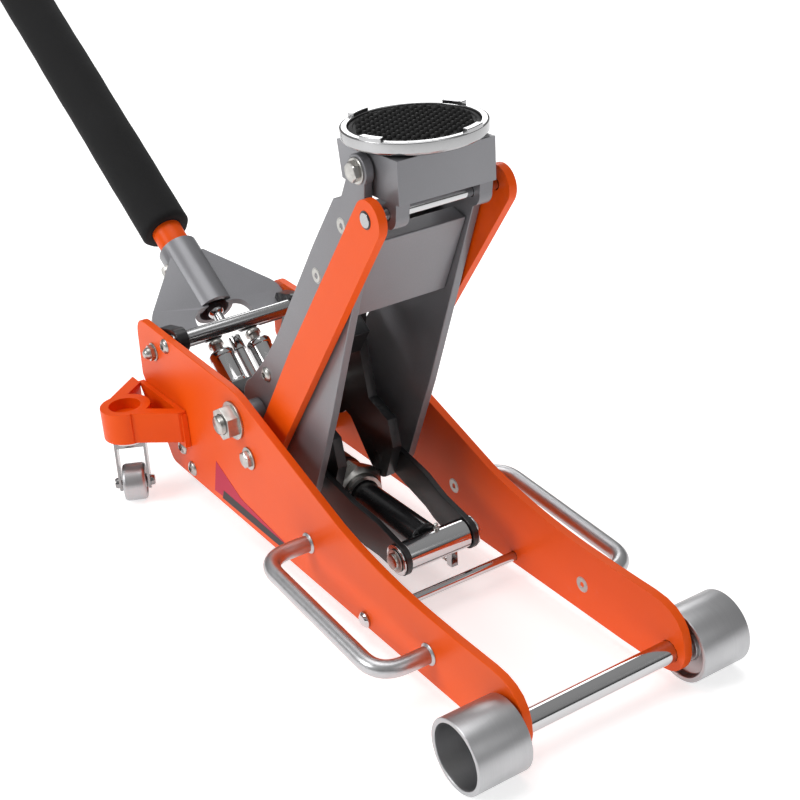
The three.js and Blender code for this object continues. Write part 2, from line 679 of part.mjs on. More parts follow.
function addRollers() {
  addPair('pump_roller', turnedY([
    [0, roller.inner], [roller.radius - 1, roller.inner], [roller.radius, roller.inner + 1],
    [roller.radius, roller.outer - 1], [roller.radius - 1, roller.outer], [0, roller.outer],
  ], roller.x, roller.z, 20), 'blackSteel');
}

addChassis();
addCarryHandles();
addFrontWheels();
addCasters();
addArmPivot();
addArm();
addLugs();
addLinks();
addSaddle();
addHydraulics();
addRam();
addPullPlates();
addHandle();
addRollers();

// The origin lies on the floor, under the middle of the whole jack with its handle.
const handleReach = -handle.end * Math.cos(handleAngle) - (handle.drop - 19) * Math.sin(handleAngle);
const rearmost = crossRod.x - handleReach;
jack.position.x = -(rearmost + wheel.radius) / 2;

const part = new THREE.Group();
part.add(jack);
export default part;
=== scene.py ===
import json
import math

import bmesh
import bpy
import numpy as np
from mathutils import Matrix, Vector


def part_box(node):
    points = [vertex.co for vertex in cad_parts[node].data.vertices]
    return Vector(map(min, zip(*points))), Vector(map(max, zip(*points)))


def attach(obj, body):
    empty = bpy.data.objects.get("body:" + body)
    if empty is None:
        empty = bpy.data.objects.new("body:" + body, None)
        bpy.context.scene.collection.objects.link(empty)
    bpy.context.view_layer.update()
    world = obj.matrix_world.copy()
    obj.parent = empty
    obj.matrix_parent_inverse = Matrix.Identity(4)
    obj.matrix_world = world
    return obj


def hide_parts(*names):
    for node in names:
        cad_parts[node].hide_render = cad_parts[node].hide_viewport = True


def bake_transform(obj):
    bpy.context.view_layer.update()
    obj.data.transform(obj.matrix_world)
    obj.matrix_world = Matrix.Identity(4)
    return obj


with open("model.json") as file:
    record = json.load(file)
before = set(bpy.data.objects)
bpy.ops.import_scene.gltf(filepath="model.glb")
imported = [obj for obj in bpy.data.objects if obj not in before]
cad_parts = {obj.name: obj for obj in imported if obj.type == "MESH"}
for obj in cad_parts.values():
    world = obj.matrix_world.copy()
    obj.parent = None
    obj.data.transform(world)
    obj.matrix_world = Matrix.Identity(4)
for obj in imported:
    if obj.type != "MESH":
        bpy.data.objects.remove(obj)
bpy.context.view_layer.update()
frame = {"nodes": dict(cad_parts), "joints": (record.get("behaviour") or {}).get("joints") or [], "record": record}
record = frame["record"]
joints = {joint["name"]: joint for joint in frame["joints"]}

mm = 0.001
xAxis, yAxis, zAxis = np.array([1.0, 0, 0]), np.array([0, 1.0, 0]), np.array([0, 0, 1.0])
left, right = 1, -1
sides = {"left": left, "right": right}


def corners(node):
    low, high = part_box(node)
    return np.array(low), np.array(high)


def centreOf(node):
    low, high = corners(node)
    return (low + high) / 2


# places on the jack are in millimetres from the front axle, on the floor and mid-way between the plates
axleX = centreOf("front_axle")[0]


def place(x, y, z):
    return np.array([axleX + x * mm, y * mm, z * mm])


def jointLine(name):
    joint = joints[name]
    axis = np.array(joint["axis"], float)
    return np.array(joint["pos_m"]), axis / np.linalg.norm(axis)


# surfaces
def gridFaces(rows, columns):
    # quads between neighbouring rows; the last column joins the first
    row, column = np.meshgrid(np.arange(rows - 1), np.arange(columns), indexing="ij")
    after = (column + 1) % columns
    quads = np.stack([row * columns + column, row * columns + after,
                      (row + 1) * columns + after, (row + 1) * columns + column], axis=-1)
    return quads.reshape(-1, 4)


def addObject(name, points, faces, material, turnOut=True, crease=32):
    mesh = bpy.data.meshes.new(name)
    faceRows = faces.tolist() if isinstance(faces, np.ndarray) else faces
    mesh.from_pydata(points.tolist(), [], faceRows)
    work = bmesh.new()
    work.from_mesh(mesh)
    bmesh.ops.remove_doubles(work, verts=work.verts, dist=2e-6)
    bmesh.ops.dissolve_degenerate(work, edges=work.edges, dist=1e-7)
    if turnOut:
        bmesh.ops.recalc_face_normals(work, faces=work.faces)
    work.to_mesh(mesh)
    work.free()
    mesh.shade_smooth()
    mesh.set_sharp_from_angle(angle=math.radians(crease))
    mesh.materials.append(material)
    piece = bpy.data.objects.new(name, mesh)
    bpy.context.scene.collection.objects.link(piece)
    return piece


def dress(piece, body, slotName, *nodes):
    if nodes:
        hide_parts(*nodes)
    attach(piece, body)
    return piece


def basis(axis):
    # two directions square to an axis; for an axis along Y they are X and Z
    helper = zAxis if abs(axis[2]) < 0.9 else xAxis
    first = np.cross(helper, axis)
    first /= np.linalg.norm(first)
    return first, np.cross(axis, first)


def turnedPoints(profile, origin, axis, segments=64, turn=0.0):
    # point = origin + axis * along + radius * (cos t * u + sin t * v); a row's third number makes its
    # circle a hexagon, whose radius is apothem / cos(angle from the nearest flat)
    rows = np.array([[row[0], row[1], row[2] if len(row) > 2 else 0] for row in profile], float)
    angle = np.linspace(0, 2 * math.pi, segments, endpoint=False)
    toFlat = np.abs((angle + math.pi / 6) % (math.pi / 3) - math.pi / 6)
    stretch = 1 + rows[:, 2:3] * (1 / np.cos(toFlat)[None, :] - 1)
    radius = rows[:, 0:1] * stretch * mm
    u, v = basis(axis)
    around = np.cos(angle + turn)[:, None] * u + np.sin(angle + turn)[:, None] * v
    points = origin + (rows[:, 1] * mm)[:, None, None] * axis + radius[:, :, None] * around[None, :, :]
    return points.reshape(-1, 3)


def turned(name, profile, origin, axis, material, segments=64, turn=0.0, crease=32):
    points = turnedPoints(profile, origin, axis, segments, turn)
    return addObject(name, points, gridFaces(len(profile), segments), material, crease=crease)


def softened(profile, radius, steps=3):
    # each corner gives way to a quadratic curve between points at most one radius along its two sides
    points = [np.array([*point, 0.0][:3], float) for point in profile]
    out = [points[0]]
    for before, corner, after in zip(points, points[1:], points[2:]):
        back, ahead = before - corner, after - corner
        lengths = np.linalg.norm(back[:2]), np.linalg.norm(ahead[:2])
        reach = min(radius, lengths[0] * 0.45, lengths[1] * 0.45)
        if reach < 0.02:
            out.append(corner)
            continue
        start = corner + back * reach / lengths[0]
        end = corner + ahead * reach / lengths[1]
        for t in np.linspace(0, 1, steps + 1):
            out.append((1 - t) ** 2 * start + 2 * t * (1 - t) * corner + t ** 2 * end)
    out.append(points[-1])
    return out


def rodProfile(radius, low, high, chamfer=0.8):
    return [(0, low), (radius - chamfer, low), (radius, low + chamfer),
            (radius, high - chamfer), (radius - chamfer, high), (0, high)]


def ringProfile(inner, outer, low, high, edge=0.6):
    closed = [(inner, low), (outer, low), (outer, high), (inner, high)]
    start = ((inner + outer) / 2, low)
    return softened([start, *closed[1:], closed[0], start], edge)


def sweptPoints(path, radii, ringSides=16):
    # a circle of each point's radius, square to the path, carried along it without twist
    path = np.array(path, float)
    tangent = np.gradient(path, axis=0)
    tangent /= np.linalg.norm(tangent, axis=1)[:, None]
    normal = np.zeros_like(path)
    first = np.cross(tangent[0], [0.31, 0.52, 0.79])
    normal[0] = first / np.linalg.norm(first)
    for i in range(1, len(path)):
        carried = normal[i - 1] - tangent[i] * np.dot(normal[i - 1], tangent[i])
        normal[i] = carried / np.linalg.norm(carried)
    other = np.cross(tangent, normal)
    angle = np.linspace(0, 2 * math.pi, ringSides, endpoint=False)
    across, along = np.cos(angle)[None, :, None], np.sin(angle)[None, :, None]
    circle = across * normal[:, None, :] + along * other[:, None, :]
    return (path[:, None, :] + np.array(radii)[:, None, None] * circle).reshape(-1, 3)


def swept(name, path, radius, material, ringSides=16):
    # the first and last circles shrink to a point, which closes the ends
    full = np.vstack([path[:1], path, path[-1:]])
    full[0] += (path[0] - path[1]) * 1e-4
    full[-1] += (path[-1] - path[-2]) * 1e-4
    radii = np.full(len(full), radius)
    radii[0] = radii[-1] = 0
    return addObject(name, sweptPoints(full, radii, ringSides), gridFaces(len(full), ringSides), material)


def slabObject(name, outline, low, high, material):
    # an outline in X and Z, carried along Y
    flat = np.array(outline, float)
    count = len(flat)
    near = np.array([place(x, low, z) for x, z in flat])
    far = np.array([place(x, high, z) for x, z in flat])
    faces = [list(range(count)), list(range(2 * count - 1, count - 1, -1))]
    faces += [[i, (i + 1) % count, count + (i + 1) % count, count + i] for i in range(count)]
    return addObject(name, np.vstack([near, far]), faces, material)


def breakEdges(piece, width, segments=3, crease=32):
    edge = piece.modifiers.new("edge", "BEVEL")
    edge.width = width * mm
    edge.segments = segments
    edge.limit_method = "ANGLE"
    edge.angle_limit = math.radians(crease)
    edge.harden_normals = True


def rounded(node, material, width, segments=3, crease=32):
    # the node's own shape, its edges broken by a small radius
    source = frame["nodes"][node].data
    work = bmesh.new()
    work.from_mesh(source)
    bmesh.ops.remove_doubles(work, verts=work.verts, dist=1e-5)
    bmesh.ops.dissolve_limit(work, angle_limit=math.radians(0.8), verts=work.verts, edges=work.edges)
    mesh = bpy.data.meshes.new(node + "_rounded")
    work.to_mesh(mesh)
    work.free()
    mesh.shade_smooth()
    mesh.set_sharp_from_angle(angle=math.radians(crease))
    mesh.materials.clear()
    mesh.materials.append(material)
    piece = bpy.data.objects.new(node + "_rounded", mesh)
    bpy.context.scene.collection.objects.link(piece)
    breakEdges(piece, width, segments, crease)
    return piece


# materials
class Value:
    # a socket that adds a Math node when it meets an operator
    def __init__(self, shader, socket):
        self.shader = shader
        self.socket = socket

    def __add__(self, other):
        return self.shader.calc("ADD", self, other)

    def __radd__(self, other):
        return self.shader.calc("ADD", other, self)

    def __sub__(self, other):
        return self.shader.calc("SUBTRACT", self, other)

    def __rsub__(self, other):
        return self.shader.calc("SUBTRACT", other, self)

    def __mul__(self, other):
        return self.shader.calc("MULTIPLY", self, other)

    def __rmul__(self, other):
        return self.shader.calc("MULTIPLY", other, self)

    def __truediv__(self, other):
        return self.shader.calc("DIVIDE", self, other)

    def limited(self, low=0.0, high=1.0):
        return self.shader.calc("MINIMUM", self.shader.calc("MAXIMUM", self, low), high)

    def above(self, low, high):
        # 0 below low, 1 above high, and straight between
        return ((self - low) / (high - low)).limited()


class Shader:
    def __init__(self, name):
        self.material = bpy.data.materials.new(name)
        self.material.use_nodes = True
        self.tree = self.material.node_tree
        self.tree.nodes.clear()
        self.surface = self.node("ShaderNodeBsdfPrincipled")
        self.output = self.node("ShaderNodeOutputMaterial", {}, {"Surface": self.surface.outputs[0]})
        self.point = self.node("ShaderNodeTexCoord").outputs["Object"]

    def feed(self, socket, value):
        if isinstance(value, Value):
            value = value.socket
        if isinstance(value, bpy.types.NodeSocket):
            self.tree.links.new(value, socket)
        elif hasattr(value, "__len__") and len(value) == 3 and len(socket.default_value) == 4:
            socket.default_value = (*value, 1)
        else:
            socket.default_value = value

    def node(self, kind, settings=None, sockets=None):
        made = self.tree.nodes.new(kind)
        for key, value in (settings or {}).items():
            setattr(made, key, value)
        for key, value in (sockets or {}).items():
            self.feed(made.inputs[key], value)
        return made

    def calc(self, operation, first, second):
        made = self.node("ShaderNodeMath", {"operation": operation}, {0: first, 1: second})
        return Value(self, made.outputs[0])

    def stretchedPoint(self, scale):
        return self.node("ShaderNodeMapping", {}, {"Vector": self.point, "Scale": scale}).outputs[0]

    def noise(self, scale, detail=3, roughness=0.55, point=None):
        made = self.node("ShaderNodeTexNoise", {}, {"Vector": point or self.point, "Scale": scale,
                                                    "Detail": detail, "Roughness": roughness})
        return Value(self, made.outputs[0])

    def cells(self, scale, point=None):
        made = self.node("ShaderNodeTexVoronoi", {}, {"Vector": point or self.point, "Scale": scale})
        return Value(self, made.outputs["Distance"])

    def edges(self):
        return Value(self, self.node("ShaderNodeNewGeometry").outputs["Pointiness"])

    def mix(self, share, first, second):
        made = self.node("ShaderNodeMix", {"data_type": "RGBA"}, {0: share, 6: first, 7: second})
        return made.outputs[2]

    def bump(self, height, depth, strength=1.0):
        made = self.node("ShaderNodeBump", {}, {"Height": height, "Distance": depth, "Strength": strength})
        return made.outputs[0]

    def finish(self, **sockets):
        for key, value in sockets.items():
            self.feed(self.surface.inputs[key.replace("_", " ")], value)
        return self.material


def powderCoat(name, colour, deep, roughness):
    # baked powder: a fine rippled skin, a slow drift of tone, thinner and lighter on the edges
    shader = Shader(name)
    ripple = shader.noise(620, 2, 0.5)
    drift = shader.noise(7, 3).above(0.35, 0.7)
    edge = shader.edges().above(0.52, 0.62)
    dust = shader.noise(60, 5, 0.7).above(0.62, 0.8)
    tone = shader.mix(drift * 0.55, colour, deep)
    tone = shader.mix(edge * 0.22, tone, [min(1, 1.35 * part + 0.03) for part in colour])
    tone = shader.mix(dust * 0.05, tone, (0.6, 0.58, 0.55))
    return shader.finish(
        Base_Color=tone, Metallic=0.0,
        Roughness=roughness + ripple * 0.10 + dust * 0.08,
        Normal=shader.bump(ripple + shader.noise(230, 1) * 0.6, 0.00012, 0.35),
        Coat_Weight=0.05, Coat_Roughness=0.15,
        Specular_IOR_Level=0.15)


def greyCoat(name):
    # grey powder with metal flake in it
    shader = Shader(name)
    flake = shader.cells(1500)
    spark = (1 - flake).above(0.72, 0.95)
    drift = shader.noise(8, 3).above(0.35, 0.7)
    edge = shader.edges().above(0.52, 0.62)
    tone = shader.mix(drift * 0.5, (0.205, 0.205, 0.218), (0.165, 0.164, 0.176))
    tone = shader.mix(spark * 0.35, tone, (0.42, 0.42, 0.44))
    tone = shader.mix(edge * 0.25, tone, (0.45, 0.45, 0.47))
    ripple = shader.noise(560, 2)
    return shader.finish(
        Base_Color=tone, Metallic=0.45,
        Roughness=0.36 + ripple * 0.12 + spark * 0.06,
        Normal=shader.bump(ripple, 0.00012, 0.35), Coat_Weight=0.2, Coat_Roughness=0.2)


def turnedAluminium(name, stretch, base=0.62, roughness=0.3):
    # tool marks run round the piece: noise that is long across the axis and short along it
    shader = Shader(name)
    lines = shader.noise(1, 4, 0.7, shader.stretchedPoint(stretch))
    patches = shader.noise(30, 4).above(0.35, 0.75)
    pits = shader.cells(420).above(0.02, 0.12)
    tone = shader.mix(lines, (base * 0.86, base * 0.86, base * 0.88), (base * 1.1, base * 1.1, base * 1.12))
    tone = shader.mix(patches * 0.3, tone, (base * 0.8, base * 0.8, base * 0.82))
    return shader.finish(
        Base_Color=tone, Metallic=1.0,
        Roughness=roughness + lines * 0.16 + patches * 0.08,
        Normal=shader.bump(lines * 0.8 + pits * 0.2, 0.00006, 0.45))


def polishedSteel(name, base=0.55, roughness=0.07):
    # bright plating with faint wiping marks and a few dull spots
    shader = Shader(name)
    wipe = shader.noise(1, 3, 0.6, shader.stretchedPoint((40, 260, 40)))
    spots = shader.noise(90, 5, 0.65).above(0.6, 0.78)
    tone = shader.mix(spots * 0.25, (base, base, base * 1.01), (base * 0.75, base * 0.74, base * 0.72))
    return shader.finish(
        Base_Color=tone, Metallic=1.0, Roughness=roughness + wipe * 0.07 + spots * 0.15,
        Normal=shader.bump(wipe, 0.00002, 0.3))


def zincPlate(name, base=(0.52, 0.51, 0.485)):
    shader = Shader(name)
    clouds = shader.noise(120, 4).above(0.35, 0.7)
    grain = shader.noise(900, 2)
    tone = shader.mix(clouds, base, [part * 0.76 for part in base])
    return shader.finish(
        Base_Color=tone, Metallic=1.0, Roughness=0.24 + clouds * 0.14 + grain * 0.06,
        Normal=shader.bump(grain, 0.00004, 0.3))


def blackSteel(name, base=0.02, roughness=0.3):
    # black paint, rubbed thin on the edges
    shader = Shader(name)
    clouds = shader.noise(45, 4).above(0.35, 0.7)
    grain = shader.noise(500, 3)
    edge = shader.edges().above(0.54, 0.66) * shader.noise(200, 4).above(0.4, 0.6)
    tone = shader.mix(clouds * 0.7, (base, base, base * 1.08), (base * 1.9, base * 1.9, base * 2))
    tone = shader.mix(edge * 0.5, tone, (0.22, 0.22, 0.22))
    return shader.finish(
        Base_Color=tone, Metallic=0.5, Roughness=roughness + clouds * 0.1 + grain * 0.1,
        Normal=shader.bump(grain, 0.00008, 0.4), Coat_Weight=0.25, Coat_Roughness=0.2)


def closedFoam(name):
    # closed-cell foam: fine pores over a soft uneven skin
    shader = Shader(name)
    pores = shader.cells(900)
    skin = shader.noise(160, 4, 0.6)
    slow = shader.noise(12, 2)
    tone = shader.mix(skin, (0.004, 0.004, 0.0045), (0.009, 0.009, 0.0095))
    tone = shader.mix(slow.above(0.5, 0.8) * 0.4, tone, (0.012, 0.012, 0.0125))
    return shader.finish(
        Base_Color=tone, Roughness=0.74 + skin * 0.16,
        Normal=shader.bump(pores * 0.7 + skin * 0.8, 0.00022, 0.5),
        Specular_IOR_Level=0.3)


def mouldedRubber(name, base=0.008):
    shader = Shader(name)
    grain = shader.noise(700, 3, 0.6)
    bloom = shader.noise(35, 4).above(0.45, 0.75)
    tone = shader.mix(bloom * 0.6, (base, base, base), (base * 2.4, base * 2.4, base * 2.5))
    return shader.finish(
        Base_Color=tone, Roughness=0.58 + bloom * 0.16 + grain * 0.08,
        Normal=shader.bump(grain, 0.0001, 0.5), Specular_IOR_Level=0.3)


def printedFilm(name, colour):
    # vinyl film with a faint printed grain
    shader = Shader(name)
    grain = shader.noise(800, 2)
    drift = shader.noise(25, 3)
    tone = shader.mix(drift * 0.3, colour, [part * 0.75 for part in colour])
    return shader.finish(
        Base_Color=tone, Roughness=0.42 + grain * 0.12, Normal=shader.bump(grain, 0.00003, 0.3),
        Specular_IOR_Level=0.2)


orangePaint = powderCoat("orange_powder_coat", (0.84, 0.092, 0.002), (0.74, 0.068, 0.001), 0.34)
greyPaint = greyCoat("grey_powder_coat")
wheelMetal = turnedAluminium("machined_aluminium", (25, 1300, 25), 0.48)
tubeMetal = turnedAluminium("drawn_aluminium", (220, 220, 220), 0.52, 0.26)
brightSteel = polishedSteel("polished_steel")
satinSteel = polishedSteel("satin_steel", 0.42, 0.16)
forkSteel = polishedSteel("caster_steel", 0.27, 0.2)
zincSteel = zincPlate("zinc_plated_steel")
blackPaint = blackSteel("black_painted_steel")
oiledSteel = blackSteel("oiled_steel", 0.022, 0.12)
foamBlack = closedFoam("closed_cell_foam")
rubberBlack = mouldedRubber("moulded_rubber")
redFilm = printedFilm("crimson_film", (0.5, 0.014, 0.055))
darkFilm = printedFilm("dark_film", (0.035, 0.032, 0.035))
print("materials ready")


# plates and castings, with their edges broken
edgeWidths = {
    "side_plate": (orangePaint, 0.9), "caster_bracket": (orangePaint, 1.6), "level_link": (orangePaint, 1.0),
    "arm_plate": (greyPaint, 1.0), "arm_web": (greyPaint, 1.6), "arm_back_web": (greyPaint, 1.2),
    "saddle_bracket": (greyPaint, 1.6), "handle_socket": (greyPaint, 1.2),
    "arm_cross_block": (blackPaint, 1.5), "lug_plate": (blackPaint, 1.0), "pull_plate": (blackPaint, 0.8),
    "pivot_block": (blackPaint, 1.0), "hydraulic_block": (blackPaint, 2.0),
    "crosshead": (brightSteel, 0.8), "caster_fork": (forkSteel, 0.6), "arm_pivot_nut": (zincSteel, 0.8),
}
slotOf = {entry["node"]: entry["material_slot"] for entry in record["subparts"]}
bodyOf = {node: body for body, nodes in record["behaviour"]["bodies"].items() for node in nodes}


def family(node):
    return node.removesuffix("_left").removesuffix("_right")


def addRoundedNodes():
    for node in frame["nodes"]:
        if family(node) in edgeWidths:
            material, width = edgeWidths[family(node)]
            dress(rounded(node, material, width), bodyOf[node], slotOf[node], node)


addRoundedNodes()
print("plates and castings ready")


# fasteners
def buttonHead(radius=6.5, height=3.6, socket=2.4):
    # a domed head with a hexagon socket, standing on its own base at zero
    rise = [(radius * math.cos(a), height * math.sin(a)) for a in np.linspace(0.12, 1.15, 7)]
    return ([(0, -0.4), (radius, -0.4), (radius, 0.1)] + rise
            + [(socket + 0.5, height), (socket, height - 0.4, 1), (socket, height - 2.6, 1), (0, height - 2.9)])


def countersunk(radius=6.8, socket=2.4):
    # a flat head flush in its seat: a thin ring of shadow, the face, then the socket
    return [(0, -0.6), (radius + 0.7, -0.6), (radius + 0.7, 0.12), (radius + 0.1, 0.12), (radius - 0.1, -0.1),
            (radius - 0.4, 0.35), (socket + 0.5, 0.4), (socket, 0.1, 1), (socket, -0.5, 1), (0, -0.55)]


def hexHead(apothem=7.5, height=5.5, washer=10.5):
    return [(0, -0.4), (washer, -0.4), (washer + 0.1, 0.9), (washer - 0.5, 1.4), (apothem + 0.1, 1.5),
            (apothem, 1.6, 1), (apothem, height + 0.7, 1), (apothem * 0.94, height + 1.4, 0.35),
            (0, height + 1.6)]


def domeNut(apothem=7.5, washer=10.0):
    dome = [((apothem - 1) * math.cos(a), 6 + 6.5 * math.sin(a)) for a in np.linspace(0, math.pi / 2, 7)]
    return ([(0, -0.4), (washer, -0.4), (washer, 1.0), (washer - 0.6, 1.4), (apothem, 1.5, 1),
             (apothem, 6, 1)] + dome[:-1] + [(0, 12.5)])


def addFastener(name, profile, x, y, z, body, material=zincSteel, slotName="zinc_plated_steel", turn=0.3):
    axis = np.array([0, 1.0 if y > 0 else -1.0, 0])
    piece = turned(name, profile, place(x, y, z), axis, material, 48, turn)
    return dress(piece, body, slotName)


plateFace = {"outer": 87.0, "inner": 79.0, "armOuter": 57.0}
plateScrews = {
    "button_low": (-569, 54), "button_high": (-550, 36),
}
carryScrews = {"front": (-112, 42), "rear": (-306, 59)}
armScrews = {"upper": (-246, 378), "middle": (-296, 320)}


def addFasteners():
    for label, side in sides.items():
        outer = side * plateFace["outer"]
        for name, (x, z) in plateScrews.items():
            addFastener(f"{name}_{label}", buttonHead(8.2, 4.2, 2.8), x, outer, z, "frame")
        addFastener(f"rear_nut_{label}", domeNut(), -610, outer, 151, "frame")
        addFastener(f"cross_rod_bolt_{label}", buttonHead(8, 4.4, 3), -577.4, outer, 170.3 - 2, "frame")
        for name, (x, z) in armScrews.items():
            addFastener(f"arm_screw_{name}_{label}", countersunk(6.4), x, side * plateFace["armOuter"], z,
                        "lift_arm")
        addFastener(f"arm_screw_lower_{label}", buttonHead(7.8, 4, 2.8), -412, side * plateFace["armOuter"],
                    185, "lift_arm")
    for name, (x, z) in carryScrews.items():
        for label, side in sides.items():
            piece = turned(f"carry_screw_{name}_{label}", countersunk(), place(x, side * plateFace["inner"], z),
                           np.array([0, -float(side), 0]), zincSteel, 48, 0.2)
            dress(piece, "frame", "zinc_plated_steel")


addFasteners()


# front axle, wheels and tie rod
wheelSizes = {"wall": 4.5, "cupDepth": 33, "hub": 15.5, "edge": 1.2}


def addWheels():
    for label, side in sides.items():
        node = f"front_wheel_{label}"
        low, high = corners(node)
        radius = (high[0] - low[0]) / 2 / mm
        inner, outer = sorted([abs(low[1]) / mm, abs(high[1]) / mm])
        hollow = radius - wheelSizes["wall"]
        floor = outer - wheelSizes["cupDepth"]
        hub = wheelSizes["hub"]
        profile = softened([
            (10.2, inner + 6), (hub, inner + 6), (hub, inner + 10), (hollow - 1, inner + 7), (hollow, inner),
            (radius, inner), (radius, outer), (hollow, outer), (hollow, outer - 5), (hollow - 0.6, floor),
            (hub, floor), (hub - 1, floor + 6), (10.2, floor + 6), (10.2, inner + 6)], wheelSizes["edge"])
        origin = np.array([centreOf(node)[0], 0, centreOf(node)[2]])
        axis = np.array([0, float(side), 0])
        dress(turned(f"road_wheel_{label}", profile, origin, axis, wheelMetal, 96), bodyOf[node],
              slotOf[node], node)
        button = [(0, floor + 5), (8.5, floor + 5), (9.6, floor + 6.5), (9.2, floor + 9), (6, floor + 10.2),
                  (3.4, floor + 10.4), (3, floor + 8.6, 1), (0, floor + 8.4)]
        dress(turned(f"axle_button_{label}", button, origin, axis, zincSteel, 48), "frame",
              "zinc_plated_steel")


def addAxleAndRods():
    origin = centreOf("front_axle")
    origin[1] = 0
    half = 112
    axle = softened([(0, -half), (11.5, -half), (12.6, -half + 3), (9.75, -half + 5), (9.75, half - 5),
                     (12.6, half - 3), (11.5, half), (0, half)], 0.8)
    dress(turned("wheel_axle", axle, origin, yAxis, brightSteel), "frame", slotOf["front_axle"], "front_axle")

    tie = centreOf("tie_rod")
    tie[1] = 0
    rim = plateFace["outer"]
    bar = softened([(0, -rim - 4.6), (5.2, -rim - 4.6), (7.6, -rim - 2.2), (7.6, -rim), (4.5, -rim), (4.5, rim),
                    (7.6, rim), (7.6, rim + 2.2), (5.2, rim + 4.6), (0, rim + 4.6)], 0.5)
    dress(turned("front_tie_rod", bar, tie, yAxis, brightSteel, 40), "frame", slotOf["tie_rod"], "tie_rod")

    cross = centreOf("cross_rod")
    cross[1] = 0
    dress(turned("handle_cross_rod", softened(rodProfile(8, -78.6, 78.6), 0.5), cross, yAxis, satinSteel),
          "frame", slotOf["cross_rod"], "cross_rod")


# the carry handle leaves the plate square, turns through a round corner and comes back the same way
carrySizes = {"rearX": -306, "rearZ": 59, "frontX": -112, "frontZ": 42, "reach": 136, "bend": 27, "tube": 8}


def cornerArc(before, corner, after, reach, steps=14):
    # a quadratic curve that leaves one side and joins the other
    start = corner + (before - corner) / np.linalg.norm(before - corner) * reach
    end = corner + (after - corner) / np.linalg.norm(after - corner) * reach
    t = np.linspace(0, 1, steps)[:, None]
    return (1 - t) ** 2 * start + 2 * t * (1 - t) * corner + t ** 2 * end


def addCarryHandles():
    sizes = carrySizes
    for label, side in sides.items():
        points = [place(sizes["rearX"], side * plateFace["outer"], sizes["rearZ"]),
                  place(sizes["rearX"], side * sizes["reach"], sizes["rearZ"]),
                  place(sizes["frontX"], side * sizes["reach"], sizes["frontZ"]),
                  place(sizes["frontX"], side * plateFace["outer"], sizes["frontZ"])]
        bend = sizes["bend"] * mm
        path = np.vstack([points[0][None], cornerArc(points[0], points[1], points[2], bend),
                          cornerArc(points[1], points[2], points[3], bend), points[3][None]])
        node = f"carry_handle_{label}"
        dress(swept(f"lifting_handle_{label}", path, sizes["tube"] * mm, tubeMetal, 32), "frame",
              slotOf[node], node)
        for name in ("rear", "front"):
            x, z = sizes[name + "X"], sizes[name + "Z"]
            collar = [(7.9, 0)] + softened([(7.9, 0), (10.4, 0), (10.2, 0.8), (8.6, 1.8), (7.9, 2.2)], 0.5)
            collar.append((7.9, 0))
            weld = turned(f"handle_weld_{name}_{label}", collar, place(x, side * plateFace["outer"], z),
                          np.array([0, float(side), 0]), tubeMetal, 40)
            dress(weld, "frame", slotOf[node])


addWheels()
addAxleAndRods()
addCarryHandles()
print("axle, wheels and carrying handles ready")


# swivel casters
casterSizes = {"wheel": 20, "half": 12.5}


def addCasters():
    for label, side in sides.items():
        origin, axis = jointLine(f"caster_{label}_roll")
        node = f"caster_wheel_{label}"
        wheel, half = casterSizes["wheel"], casterSizes["half"]
        rim = [(7.5, half), (8.2, half - 2.3), (wheel - 6, half - 2.5), (wheel - 4.5, half - 0.5),
               (wheel - 1.4, half - 0.9), (wheel, half - 3.5)]
        profile = softened([(3.4, -half)] + [(radius, -along) for radius, along in rim] + rim[::-1]
                           + [(3.4, half), (3.4, -half)], 0.8)
        dress(turned(f"caster_tread_{label}", profile, origin, axis, wheelMetal, 72), bodyOf[node],
              slotOf[node], node)
        swivel, up = jointLine(f"caster_{label}_swivel")
        race = softened([(9, -1.6), (19.5, -1.6), (20.2, 0.4), (18.5, 3.2), (9, 3.4)], 0.5)
        race = [(9, -1.6)] + race + [(9, -1.6)]
        dress(turned(f"ball_race_{label}", race, swivel + np.array([0, 0, -2.4 * mm]), up, brightSteel, 64),
              f"caster_fork_{label}", "polished_steel")


addCasters()
print("casters ready")


